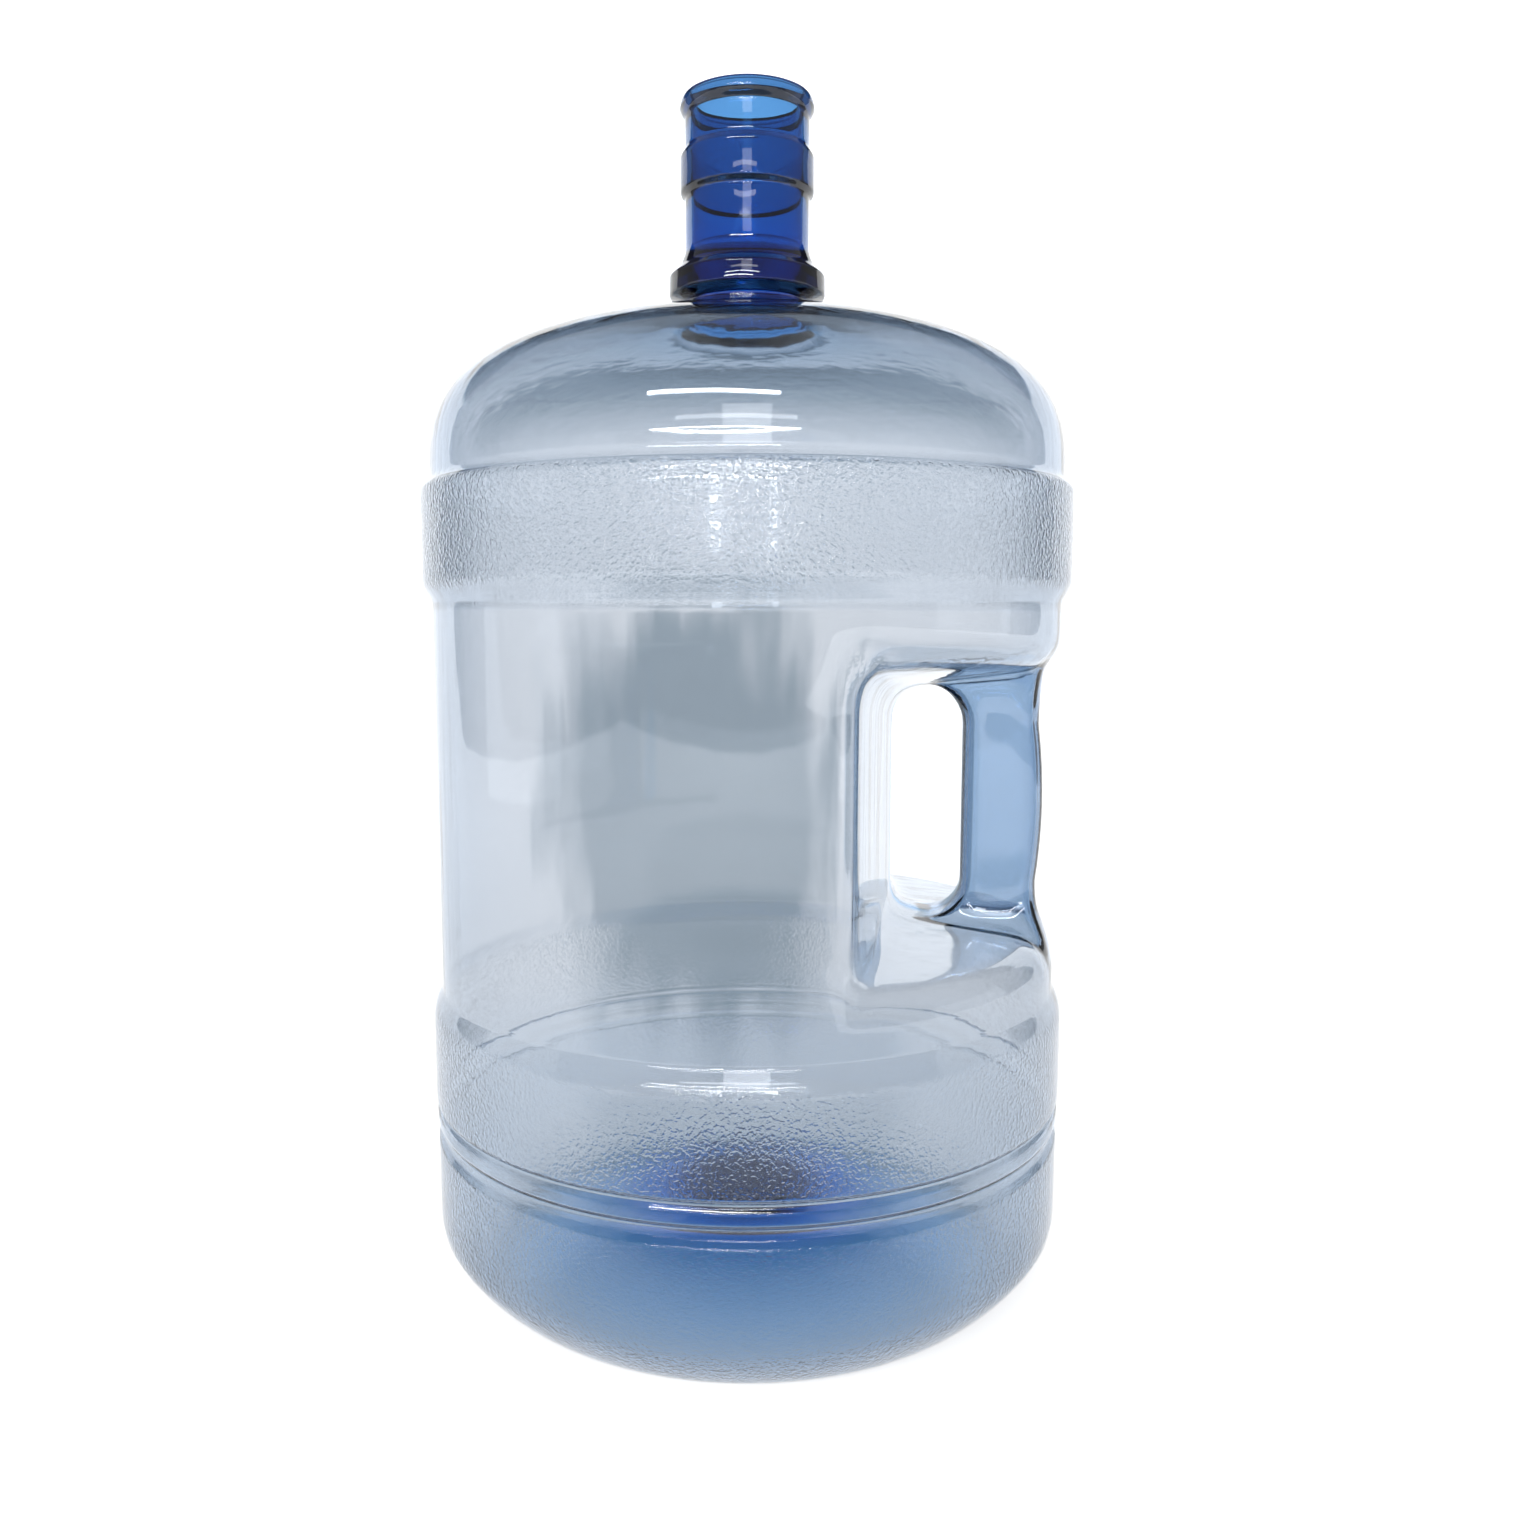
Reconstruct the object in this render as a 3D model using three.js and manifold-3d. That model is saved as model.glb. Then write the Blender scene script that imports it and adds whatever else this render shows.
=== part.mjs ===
// A returnable 18.9 litre water-cooler jug: one blow-moulded polycarbonate shell with an open crown
// neck, three textured rolling bands and a hollow grip pinched out of the barrel.
// Millimetres, +Z up, the origin on the floor at the middle of the standing ring, the grip towards +X.
// The shell is divided at its moulding lines into zones, which meet face to face on level planes.
import * as THREE from 'three';
import { mergeVertices } from 'three/addons/utils/BufferGeometryUtils.js';
import Module from 'manifold-3d';

const wasm = await Module();
wasm.setup();

// Overall sizes
const TOTAL_HEIGHT = 490;       // floor to mouth rim
const BODY_RADIUS = 135;        // over the textured bands
const BAND_RELIEF = 3.7;        // how far the bands stand proud of the smooth barrel
const BODY_WALL = 1.2;
const BASE_WALL = 1.6;
const ROUND_STEPS = 48;

// Neck, measured down from the mouth rim
const NECK_RADIUS = 25.6;
const NECK_WALL = 2.8;
const LIP_RELIEF = 2.1;         // how far the lip stands out from the neck, and so on below
const LIP_HEIGHT = 8.4;
const LIP_CROWN_WIDTH = 2.8;    // the lip's rounded shoulder, across and down
const LIP_CROWN_HEIGHT = 5.2;
const LIP_UNDERCUT = 2.6;
const SNAP_BAND_RELIEF = 2;
const SNAP_BAND_DROP = 20.5;
const SNAP_BAND_HEIGHT = 19.4;
const SNAP_BAND_TOP_BEVEL = 3;
const SNAP_BAND_LOW_BEVEL = 1.9;
const RING_RELIEF = 6.8;
const RING_DROP = 71.2;
const RING_HEIGHT = 7.8;
const RING_FLARE_HEIGHT = 9;
const RING_UNDERCUT = 2.2;
const ROOT_INSET = 0.6;         // waist between the support ring and the dome
const ROOT_FILLET = 3;
const NECK_LENGTH = 87.9;       // mouth rim to the crown of the dome

// Dome, measured down from its crown
const DOME_RISE = 62.7;         // crown to the level where the side turns upright
const DOME_SIDE_PULL = 39.7;    // how long the side stays steep
const DOME_CROWN_REACH = 73.5;  // how far the crown runs out before it turns down
const DOME_CROWN_DROP = 10.8;   // how far the crown falls on the way
const DOME_STEPS = 9;

// Bands, measured along the jug
const SHOULDER_GROOVE_HEIGHT = 6.4;
const UPPER_BAND_TOP_BEVEL = 3.2;
const UPPER_BAND_HEIGHT = 38.2;
const UPPER_BAND_LOW_BEVEL = 6.6;
const LOWER_BAND_TOP_BEVEL = 9.3;
const LOWER_BAND_HEIGHT = 38.5;
const LOWER_BAND_LOW_EDGE = 78.3;
const CREASE_DEPTH = 2.4;       // sharp crease under the lower band
const CREASE_HALF_HEIGHT = 1.4;
const RIDGE_HEIGHT = 5.9;       // smooth ridge between the crease and the rolling groove
const RIDGE_RELIEF = 0.4;
const ROLL_GROOVE_DEPTH = 1.9;
const ROLL_GROOVE_TOP_BEVEL = 2.1;
const ROLL_GROOVE_FLOOR = 3.5;
const ROLL_GROOVE_LOW_BEVEL = 2.7;
const FOOT_RELIEF = 0.6;

// Base
const HEEL_TOP = 25.8;
const HEEL_SIDE_PULL = 7.9;
const HEEL_INSET = 21.1;        // from the foot band in to the standing ring
const HEEL_FLOOR_PULL = 3.5;
const HEEL_STEPS = 6;
const STANDING_RING_WIDTH = 7;
const PUSH_UP_HEIGHT = 24;
const PUSH_UP_STEPS = 5;
const GATE_RADIUS = 25;
const GATE_WALL = 4.5;

// Grip and the notch behind it
const GRIP_INSET = 5.7;         // grip's outer face behind the barrel's side
const GRIP_THICKNESS = 33.7;    // along X
const GRIP_WIDTH = 30;          // along Y
const GRIP_CORNER = 9;
const GRIP_WALL = 1.8;
const HAND_HOLE_WIDTH = 29.2;
const HAND_HOLE_LOW = 155;
const HAND_HOLE_LENGTH = 93.7;
const NOTCH_BACK_DRAFT = 0.073; // how much the notch opens for each millimetre out from the middle
const NOTCH_CEILING_DRAFT = 0.09;
const NOTCH_FLOOR_DRAFT = 0.06;
const WEB_HALF_THICKNESS = 9;   // fillet webs at the hand hole's round ends
const GRIP_ROOT = 11;           // how far the bar's ends run past the hand hole
const GRIP_JOIN = 14;           // hand-hole end to the level where the grip's own zone starts

// Overshoot of cutting solids past what they cut
const OVERSHOOT = 6;

const boreRadius = NECK_RADIUS - NECK_WALL;
const rootRadius = NECK_RADIUS - ROOT_INSET;
const barrelRadius = BODY_RADIUS - BAND_RELIEF;
const crownLevel = TOTAL_HEIGHT - NECK_LENGTH;
const springLevel = crownLevel - DOME_RISE;
const grooveLevel = springLevel - SHOULDER_GROOVE_HEIGHT;
const upperBandTop = grooveLevel - UPPER_BAND_TOP_BEVEL;
const upperBandLow = upperBandTop - UPPER_BAND_HEIGHT;
const barrelTop = upperBandLow - UPPER_BAND_LOW_BEVEL;
const lowerBandTop = LOWER_BAND_LOW_EDGE + LOWER_BAND_HEIGHT;
const barrelLow = lowerBandTop + LOWER_BAND_TOP_BEVEL;

// Levels of the planes between zones, each on an upright stretch of wall
const lipPlane = TOTAL_HEIGHT - LIP_HEIGHT - 2;
const ringPlane = TOTAL_HEIGHT - RING_DROP + RING_FLARE_HEIGHT + 2;
const rootPlane = crownLevel + ROOT_FILLET + 1.5;
const domePlane = springLevel - SHOULDER_GROOVE_HEIGHT / 2;
const upperPlane = barrelTop - 2;
const lowerPlane = barrelLow + 1.4;
const ridgeTop = LOWER_BAND_LOW_EDGE - 2 * CREASE_HALF_HEIGHT;
const ridgePlane = ridgeTop - RIDGE_HEIGHT / 2;
const footPlane = HEEL_TOP + 14;

const point = (radius, level) => new THREE.Vector2(radius, level);

// A smooth bend between two points, pulled towards two handles, as points without the first.
function bend(start, startPull, endPull, end, steps) {
  const curve = new THREE.CubicBezierCurve(start, startPull, endPull, end);
  return curve.getPoints(steps).slice(1);
}

// The inner face of a wall whose outer face is given from top to bottom: each straight is moved in
// by the wall, neighbours meet at a mitre, and the two ends stay level, or upright on the axis.
function insideOf(outer, walls) {
  const inward = (from, to) => point(to.y - from.y, from.x - to.x).normalize();
  return outer.map((corner, i) => {
    const wall = walls[i];
    const before = i > 0 ? inward(outer[i - 1], corner) : null;
    const after = i < outer.length - 1 ? inward(corner, outer[i + 1]) : null;
    if (before && after) {
      const mitre = before.clone().add(after).multiplyScalar(wall / (1 + before.dot(after)));
      return corner.clone().add(mitre);
    }
    const normal = before ?? after;
    if (corner.x === 0) {
      return point(0, corner.y + wall / Math.abs(normal.y));
    }
    return point(corner.x - wall / Math.abs(normal.x), corner.y);
  });
}

// A closed mesh as a solid: corners that coincide are merged and collapsed triangles dropped.
function solidOf(geometry) {
  const bare = geometry.clone();
  bare.deleteAttribute('normal');
  bare.deleteAttribute('uv');
  const merged = mergeVertices(bare);
  const corners = merged.index.array;
  const kept = [];
  for (let i = 0; i < corners.length; i += 3) {
    const [a, b, c] = [corners[i], corners[i + 1], corners[i + 2]];
    if (a !== b && b !== c && c !== a) {
      kept.push(a, b, c);
    }
  }
  return new wasm.Manifold(new wasm.Mesh({
    numProp: 3,
    vertProperties: new Float32Array(merged.attributes.position.array),
    triVerts: new Uint32Array(kept),
  }));
}

// A solid back as a three.js geometry.
function geometryOf(solid) {
  const mesh = solid.getMesh();
  const geometry = new THREE.BufferGeometry();
  geometry.setAttribute('position', new THREE.BufferAttribute(mesh.vertProperties, 3));
  geometry.setIndex(new THREE.BufferAttribute(mesh.triVerts, 1));
  geometry.computeVertexNormals();
  return geometry;
}

// A profile of radius and level turned about the jug's axis.
function turned(profile) {
  const geometry = new THREE.LatheGeometry(profile, ROUND_STEPS);
  geometry.rotateX(Math.PI / 2);
  return solidOf(geometry);
}

// A turned shell between an outer and an inner face, both given from top to bottom.
function shell(outer, inner) {
  return turned([outer[0], ...inner, ...outer.slice().reverse()]);
}

const evenWall = (outer, wall) => insideOf(outer, outer.map(() => wall));

// Rounded rectangle about a centre.
function roundedRectangle(centreX, centreY, sizeX, sizeY, corner) {
  const shape = new THREE.Shape();
  const [x, y] = [centreX - sizeX / 2, centreY - sizeY / 2];
  shape.moveTo(x + corner, y);
  shape.lineTo(x + sizeX - corner, y);
  shape.absarc(x + sizeX - corner, y + corner, corner, -Math.PI / 2, 0);
  shape.lineTo(x + sizeX, y + sizeY - corner);
  shape.absarc(x + sizeX - corner, y + sizeY - corner, corner, 0, Math.PI / 2);
  shape.lineTo(x + corner, y + sizeY);
  shape.absarc(x + corner, y + sizeY - corner, corner, Math.PI / 2, Math.PI);
  shape.lineTo(x, y + corner);
  shape.absarc(x + corner, y + corner, corner, Math.PI, 1.5 * Math.PI);
  return shape;
}

// Upright prism of an outline in X and Y between two levels.
function uprightPrism(shape, low, high) {
  const geometry = new THREE.ExtrudeGeometry(shape, {
    depth: high - low,
    bevelEnabled: false,
    curveSegments: 5,
  });
  geometry.translate(0, 0, low);
  return solidOf(geometry);
}

// Prism of an outline in X and Z, lying across the jug from -halfWidth to +halfWidth.
function crossPrism(shape, halfWidth, steps) {
  const geometry = new THREE.ExtrudeGeometry(shape, {
    depth: 2 * halfWidth,
    steps,
    bevelEnabled: false,
    curveSegments: 6,
  });
  geometry.translate(0, 0, -halfWidth);
  geometry.rotateX(Math.PI / 2);
  return geometry;
}

// Mouth lip: a rounded bead with a flat pouring rim on top.
function mouthLip() {
  const lipRadius = NECK_RADIUS + LIP_RELIEF;
  const low = TOTAL_HEIGHT - LIP_HEIGHT;
  const rim = lipRadius - LIP_CROWN_WIDTH;
  const outer = [
    point(rim, TOTAL_HEIGHT),
    ...bend(
      point(rim, TOTAL_HEIGHT),
      point(rim + 0.55 * LIP_CROWN_WIDTH, TOTAL_HEIGHT),
      point(lipRadius, TOTAL_HEIGHT - 0.45 * LIP_CROWN_HEIGHT),
      point(lipRadius, TOTAL_HEIGHT - LIP_CROWN_HEIGHT),
      4,
    ),
    point(lipRadius, low + LIP_UNDERCUT),
    point(NECK_RADIUS, low),
    point(NECK_RADIUS, lipPlane),
  ];
  return shell(outer, [point(boreRadius, TOTAL_HEIGHT), point(boreRadius, lipPlane)]);
}

// Neck: the tube that a snap cap closes over, with the band that the cap's skirt grips under.
function neck() {
  const bandRadius = NECK_RADIUS + SNAP_BAND_RELIEF;
  const bandTop = TOTAL_HEIGHT - SNAP_BAND_DROP;
  const bandLow = bandTop - SNAP_BAND_HEIGHT;
  const outer = [
    point(NECK_RADIUS, lipPlane),
    point(NECK_RADIUS, bandTop),
    point(bandRadius, bandTop - SNAP_BAND_TOP_BEVEL),
    point(bandRadius, bandLow + SNAP_BAND_LOW_BEVEL),
    point(NECK_RADIUS, bandLow),
    point(NECK_RADIUS, ringPlane),
  ];
  return shell(outer, [point(boreRadius, lipPlane), point(boreRadius, ringPlane)]);
}

// Support ring: the thick flange at the foot of the neck.
function supportRing() {
  const ringRadius = NECK_RADIUS + RING_RELIEF;
  const ringTop = TOTAL_HEIGHT - RING_DROP;
  const ringLow = ringTop - RING_HEIGHT;
  const flareTop = ringTop + RING_FLARE_HEIGHT;
  const outer = [
    point(NECK_RADIUS, ringPlane),
    point(NECK_RADIUS, flareTop),
    ...bend(
      point(NECK_RADIUS, flareTop),
      point(NECK_RADIUS, flareTop - RING_FLARE_HEIGHT / 2),
      point(NECK_RADIUS + RING_RELIEF / 2, ringTop + RING_FLARE_HEIGHT / 3),
      point(ringRadius, ringTop),
      4,
    ),
    point(ringRadius, ringLow),
    point(rootRadius, ringLow - RING_UNDERCUT),
    point(rootRadius, rootPlane),
  ];
  return shell(outer, [point(boreRadius, ringPlane), point(boreRadius, rootPlane)]);
}

// Shoulder dome: from the root of the neck out and down to the smooth groove over the upper band.
function shoulderDome() {
  const crown = point(rootRadius + ROOT_FILLET, crownLevel);
  const outer = [
    point(rootRadius, rootPlane),
    point(rootRadius, crownLevel + ROOT_FILLET),
    crown,
    ...bend(
      crown,
      point(crown.x + DOME_CROWN_REACH, crownLevel - DOME_CROWN_DROP),
      point(barrelRadius, springLevel + DOME_SIDE_PULL),
      point(barrelRadius, springLevel),
      DOME_STEPS,
    ),
    point(barrelRadius, domePlane),
  ];
  const rootWall = rootRadius - boreRadius;
  const last = outer.length - 1;
  const walls = outer.map((corner, i) => THREE.MathUtils.lerp(rootWall, BODY_WALL, i / last));
  return shell(outer, insideOf(outer, walls));
}

// Upper band: the widest, textured ring under the dome.
function upperBand() {
  const outer = [
    point(barrelRadius, domePlane),
    point(barrelRadius, grooveLevel),
    point(BODY_RADIUS, upperBandTop),
    point(BODY_RADIUS, upperBandLow),
    point(barrelRadius, barrelTop),
    point(barrelRadius, upperPlane),
  ];
  return shell(outer, evenWall(outer, BODY_WALL));
}

// Lower band: the second textured ring, with the sharp crease under it.
function lowerBand() {
  const crease = LOWER_BAND_LOW_EDGE - CREASE_HALF_HEIGHT;
  const outer = [
    point(barrelRadius, lowerPlane),
    point(barrelRadius, barrelLow),
    point(BODY_RADIUS, lowerBandTop),
    point(BODY_RADIUS, LOWER_BAND_LOW_EDGE),
    point(BODY_RADIUS - CREASE_DEPTH, crease),
    point(BODY_RADIUS - RIDGE_RELIEF, ridgeTop),
    point(BODY_RADIUS - RIDGE_RELIEF, ridgePlane),
  ];
  return shell(outer, evenWall(outer, BODY_WALL));
}

// Foot band: the ridge, the rolling groove and the top of the textured foot.
function footBand() {
  const footRadius = BODY_RADIUS - FOOT_RELIEF;
  const ridgeLow = ridgeTop - RIDGE_HEIGHT;
  const grooveTop = ridgeLow - ROLL_GROOVE_TOP_BEVEL;
  const grooveLow = grooveTop - ROLL_GROOVE_FLOOR;
  const outer = [
    point(BODY_RADIUS - RIDGE_RELIEF, ridgePlane),
    point(BODY_RADIUS - RIDGE_RELIEF, ridgeLow),
    point(footRadius - ROLL_GROOVE_DEPTH, grooveTop),
    point(footRadius - ROLL_GROOVE_DEPTH, grooveLow),
    point(footRadius, grooveLow - ROLL_GROOVE_LOW_BEVEL),
    point(footRadius, footPlane),
  ];
  return shell(outer, evenWall(outer, BODY_WALL));
}

// Base: the round heel, the standing ring and the push-up with its thick gate in the middle.
function base() {
  const footRadius = BODY_RADIUS - FOOT_RELIEF;
  const standOut = footRadius - HEEL_INSET;
  const standIn = standOut - STANDING_RING_WIDTH;
  const heel = bend(
    point(footRadius, HEEL_TOP),
    point(footRadius, HEEL_TOP - HEEL_SIDE_PULL),
    point(standOut + HEEL_FLOOR_PULL, 0),
    point(standOut, 0),
    HEEL_STEPS,
  );
  const pushUp = bend(
    point(standIn, 0),
    point(standIn - HEEL_FLOOR_PULL, 0),
    point((standIn + GATE_RADIUS) / 2, PUSH_UP_HEIGHT),
    point(GATE_RADIUS, PUSH_UP_HEIGHT),
    PUSH_UP_STEPS,
  );
  const outer = [
    point(footRadius, footPlane),
    point(footRadius, HEEL_TOP),
    ...heel,
    point(standIn, 0),
    ...pushUp,
    point(0, PUSH_UP_HEIGHT),
  ];
  const walls = outer.map((corner, i) => {
    if (corner.x <= GATE_RADIUS) {
      return GATE_WALL;
    }
    return i === 0 ? BODY_WALL : BASE_WALL;
  });
  return shell(outer, insideOf(outer, walls));
}

// Grip's place along X
const gripOuter = barrelRadius - GRIP_INSET;
const gripCentre = gripOuter - GRIP_THICKNESS / 2;
const gripInner = gripOuter - GRIP_THICKNESS;
const notchBack = gripInner - HAND_HOLE_WIDTH;
const handHoleTop = HAND_HOLE_LOW + HAND_HOLE_LENGTH;
const gripLow = HAND_HOLE_LOW + GRIP_JOIN;
const gripHigh = handHoleTop - GRIP_JOIN;

// The grip's section, smaller all round by an inset for its bore.
function gripSection(inset) {
  return roundedRectangle(
    gripCentre,
    0,
    GRIP_THICKNESS - 2 * inset,
    GRIP_WIDTH - 2 * inset,
    GRIP_CORNER - inset,
  );
}

// Notch: the room for a hand, cut right through the barrel and opened out to both sides by the
// mould's draft. Grown by a wall, it is what the inside of the jug keeps clear of.
function notch(growth) {
  const middle = (HAND_HOLE_LOW + handHoleTop) / 2;
  const corner = HAND_HOLE_WIDTH / 2 + growth;
  const [back, low, high] = [notchBack - growth, HAND_HOLE_LOW - growth, handHoleTop + growth];
  const front = BODY_RADIUS + OVERSHOOT;
  const shape = new THREE.Shape();
  shape.moveTo(front, low);
  shape.lineTo(front, high);
  shape.lineTo(back + corner, high);
  shape.absarc(back + corner, high - corner, corner, Math.PI / 2, Math.PI);
  shape.lineTo(back, low + corner);
  shape.absarc(back + corner, low + corner, corner, Math.PI, 1.5 * Math.PI);
  const geometry = crossPrism(shape, BODY_RADIUS + OVERSHOOT, 2);
  const place = geometry.attributes.position;
  for (let i = 0; i < place.count; i += 1) {
    const out = Math.abs(place.getY(i));
    const level = place.getZ(i);
    const draft = level > middle ? NOTCH_CEILING_DRAFT : -NOTCH_FLOOR_DRAFT;
    place.setX(i, place.getX(i) - NOTCH_BACK_DRAFT * out);
    place.setZ(i, level + draft * out);
  }
  return solidOf(geometry);
}

// Web that rounds one end of the hand hole on the grip's side.
function web(end, side) {
  const corner = HAND_HOLE_WIDTH / 2;
  const shape = new THREE.Shape();
  const [start, finish] = side > 0 ? [Math.PI / 2, 0] : [1.5 * Math.PI, 2 * Math.PI];
  shape.moveTo(gripInner + GRIP_CORNER, end - side * corner);
  shape.lineTo(gripInner + GRIP_CORNER, end + side * OVERSHOOT);
  shape.lineTo(gripInner - corner, end + side * OVERSHOOT);
  shape.lineTo(gripInner - corner, end);
  shape.absarc(gripInner - corner, end - side * corner, corner, start, finish, side > 0);
  return solidOf(crossPrism(shape, WEB_HALF_THICKNESS, 1));
}

// Barrel: the smooth middle of the jug with the notch, and the stubs that the grip grows out of.
function barrel() {
  const skin = turned([
    point(0, lowerPlane),
    point(barrelRadius, lowerPlane),
    point(barrelRadius, upperPlane),
    point(0, upperPlane),
  ]);
  const roomRadius = barrelRadius - BODY_WALL;
  const room = turned([
    point(0, lowerPlane - OVERSHOOT),
    point(roomRadius, lowerPlane - OVERSHOOT),
    point(roomRadius, upperPlane + OVERSHOOT),
    point(0, upperPlane + OVERSHOOT),
  ]);
  const [barLow, barHigh] = [HAND_HOLE_LOW - GRIP_ROOT, handHoleTop + GRIP_ROOT];
  const bar = uprightPrism(gripSection(0), barLow, barHigh);
  const bore = uprightPrism(gripSection(GRIP_WALL), barLow, barHigh);
  const webs = web(handHoleTop, 1).add(web(HAND_HOLE_LOW, -1));
  const outside = skin.subtract(notch(0)).add(bar).add(webs);
  const inside = room.subtract(notch(BODY_WALL)).add(bore);
  const gripRoom = uprightPrism(gripSection(-OVERSHOOT), gripLow, gripHigh);
  return outside.subtract(inside).subtract(gripRoom);
}

// Grip: the hollow bar that the hand closes round.
function grip() {
  const section = gripSection(0);
  section.holes.push(gripSection(GRIP_WALL));
  return uprightPrism(section, gripLow, gripHigh);
}

// Clear blue-grey polycarbonate: pale where the wall is thin, deeper where it is thick.
function polycarbonate(color, opacity, roughness) {
  return new THREE.MeshStandardMaterial({
    color,
    roughness,
    metalness: 0,
    transparent: true,
    opacity,
  });
}

const thinWall = polycarbonate(0xb8c5d8, 0.4, 0.08);
const textured = polycarbonate(0xb0bcd6, 0.5, 0.3);
const thickWall = polycarbonate(0x2f4f96, 0.7, 0.08);
const gripWall = polycarbonate(0x7fa3d0, 0.55, 0.08);

const zones = [
  ['mouth_lip', mouthLip, thickWall],
  ['neck', neck, thickWall],
  ['support_ring', supportRing, thickWall],
  ['shoulder_dome', shoulderDome, thinWall],
  ['upper_band', upperBand, textured],
  ['barrel', barrel, thinWall],
  ['grip', grip, gripWall],
  ['lower_band', lowerBand, textured],
  ['foot_band', footBand, textured],
  ['base', base, textured],
];

const jug = new THREE.Group();
for (const [name, make, material] of zones) {
  const mesh = new THREE.Mesh(geometryOf(make()), material);
  mesh.name = name;
  jug.add(mesh);
}

export default jug;
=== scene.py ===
import math

import bpy
import numpy as np
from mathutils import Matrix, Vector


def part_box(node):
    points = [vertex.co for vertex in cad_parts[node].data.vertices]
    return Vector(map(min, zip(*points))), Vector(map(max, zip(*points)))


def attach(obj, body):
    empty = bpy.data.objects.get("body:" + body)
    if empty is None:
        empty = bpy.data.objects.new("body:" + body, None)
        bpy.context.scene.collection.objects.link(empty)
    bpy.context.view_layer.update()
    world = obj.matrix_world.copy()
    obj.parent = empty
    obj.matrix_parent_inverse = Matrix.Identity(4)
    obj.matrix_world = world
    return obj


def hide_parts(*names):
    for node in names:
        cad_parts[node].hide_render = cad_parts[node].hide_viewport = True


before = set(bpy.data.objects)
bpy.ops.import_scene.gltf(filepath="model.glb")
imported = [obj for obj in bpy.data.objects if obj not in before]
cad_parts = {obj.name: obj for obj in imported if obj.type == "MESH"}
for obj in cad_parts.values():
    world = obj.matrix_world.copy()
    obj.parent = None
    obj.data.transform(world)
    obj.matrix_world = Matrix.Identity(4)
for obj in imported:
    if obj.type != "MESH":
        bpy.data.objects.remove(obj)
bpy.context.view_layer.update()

MM = 0.001


# ---- Camera -------------------------------------------------------------------------------------
# A product camera close to the jug, a little above its middle and looking slightly down, with the
# grip turned a few degrees away from square on.
CAMERA_TURN = math.radians(8.0)
CAMERA_DISTANCE = 556 * MM
CAMERA_HEIGHT = 278 * MM
CAMERA_PITCH = math.radians(6.59)

camera_data = bpy.data.cameras.new("product_camera")
camera_data.sensor_width = 36
camera_data.lens = 30.15
camera_data.shift_x = 0.0135
camera = bpy.data.objects.new("product_camera", camera_data)
camera.location = (
    CAMERA_DISTANCE * math.sin(CAMERA_TURN),
    -CAMERA_DISTANCE * math.cos(CAMERA_TURN),
    CAMERA_HEIGHT,
)
camera.rotation_euler = (math.pi / 2 - CAMERA_PITCH, 0, CAMERA_TURN)
bpy.context.scene.collection.objects.link(camera)
bpy.context.scene.camera = camera


# ---- Jug shell ----------------------------------------------------------------------------------
# The whole jug is one wall of blow-moulded clear polycarbonate: a heavy neck with a lip, a snap
# band and a support ring, a thin domed body with three pebbled bands, and a pushed-up base.
lip_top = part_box("mouth_lip")[1]
dome_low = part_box("shoulder_dome")[0]
barrel_low, barrel_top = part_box("barrel")
low_band_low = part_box("lower_band")[0]
grip_low, grip_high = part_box("grip")
TOP = lip_top.z
LIP_R = lip_top.x
NECK_R = LIP_R - 2.1 * MM
SNAP_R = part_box("neck")[1].x
BORE_R = NECK_R - 2.8 * MM
RING_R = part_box("support_ring")[1].x
ROOT_R = NECK_R - 0.6 * MM
BAND_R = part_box("upper_band")[1].x
BARREL_R = barrel_top.x
FOOT_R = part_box("base")[1].x
CROWN = TOP - 87.9 * MM


def bend(start, pull_start, pull_end, end, count):
    """Corners along a smooth bend: the cubic mix of four points, without the first."""
    t = np.linspace(0, 1, count + 1)[1:, None]
    points = np.array([start, pull_start, pull_end, end], float)
    weights = np.hstack([(1 - t) ** 3, 3 * t * (1 - t) ** 2, 3 * t ** 2 * (1 - t), t ** 3])
    return weights @ points


def eased_path(corners, ease, distance):
    """Points at given distances along straights joined at corners. Each corner's turn is eased in
    over a length either side of it: the path is the first straight, plus for every corner the
    change of direction times a ramp that starts as a parabola and ends as a line."""
    legs = np.diff(corners, axis=-2)
    length = np.linalg.norm(legs, axis=-1)
    still = length < 1e-7
    heading = legs / np.where(still, 1, length)[..., None]
    heading = np.where(still[..., None], np.array([0.0, -1.0]), heading)
    place = np.cumsum(length, axis=-1)[..., :-1]
    turn = np.diff(heading, axis=-2)
    past = distance[..., :, None] - place[..., None, :]
    ramp = np.clip(past + ease, 0, 2 * ease) ** 2 / (4 * ease) + np.maximum(past - ease, 0)
    first = corners[..., :1, :] + heading[..., :1, :] * distance[..., :, None]
    return first + ramp @ turn


def stations(corners, ease, longest):
    """Distances at which a path is sampled: five across every sharp corner, one at every slight
    one, and enough on the straights that no step is longer than the longest."""
    legs = np.diff(corners, axis=0)
    length = np.linalg.norm(legs, axis=1)
    place = np.concatenate([[0], np.cumsum(length)])
    heading = legs / length[:, None]
    sharp = (heading[1:] * heading[:-1]).sum(1) < 0.94
    spread = place[1:-1, None] + ease[:, None] * sharp[:, None] * np.array([-1, -0.45, 0, 0.45, 1])
    marks = np.unique(np.round(np.concatenate([[0, place[-1]], spread.ravel()]), 6))
    marks = marks[np.concatenate([[True], np.diff(marks) > 0.25 * MM])]
    marks = np.append(marks[marks < place[-1] - 0.2 * MM], place[-1])
    gaps = np.diff(marks)
    pieces = np.ceil(gaps / longest).astype(int)
    start = np.repeat(marks[:-1], pieces)
    share = np.concatenate([np.arange(n) / n for n in pieces])
    return np.append(start + share * np.repeat(gaps, pieces), marks[-1])


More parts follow.
